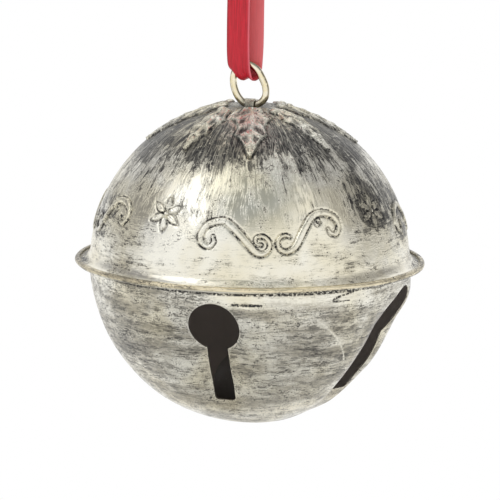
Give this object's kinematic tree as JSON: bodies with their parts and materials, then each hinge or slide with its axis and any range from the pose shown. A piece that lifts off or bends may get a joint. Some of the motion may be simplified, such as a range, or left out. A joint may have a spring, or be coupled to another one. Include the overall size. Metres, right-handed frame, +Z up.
{
  "type": "hanging bell ornament",
  "caption": "Round two-shell sleigh bell ornament with keyhole sound slots, crimped rim, loose clapper ball, wire ring and ribbon loop.",
  "frame": {"origin": "hanging point: inside the top of the ribbon loop, under the knot", "axes": "+Z up along the bell's axis, -Y out through the middle of one keyhole, +X out through the next one"},
  "size_m": [0.0874, 0.0874, 0.1853],
  "materials": {
    "antique_silver": "silver plate with dark brushed patina",
    "pale_gold": "bright pale gold plate",
    "dark_steel": "dull oxidised steel",
    "red_satin": "satin weave"
  },
  "bodies": {
    "ribbon": {"ribbon_loop": "red_satin", "ribbon_knot": "red_satin"},
    "ring": {"hanger_ring": "pale_gold"},
    "bell": {"upper_shell": "antique_silver", "lower_shell": "antique_silver", "hanger_staple": "antique_silver"},
    "clapper": {"clapper_ball": "dark_steel"}
  },
  "joints": [
    {"name": "ring_swing", "type": "hinge", "parent": "ribbon", "child": "ring", "pos_m": [0, 0, -0.0687], "axis": [1, 0, 0], "range_deg": [-25, 25]},
    {"name": "bell_swing", "type": "hinge", "parent": "ring", "child": "bell", "pos_m": [0, 0, -0.07866], "axis": [1, 0, 0], "range_deg": [-45, 45]},
    {"name": "clapper_roll", "type": "hinge", "parent": "bell", "child": "clapper", "pos_m": [0, 0, -0.11811], "axis": [0.7071, 0.7071, 0], "range_deg": [-85, 85]}
  ]
}
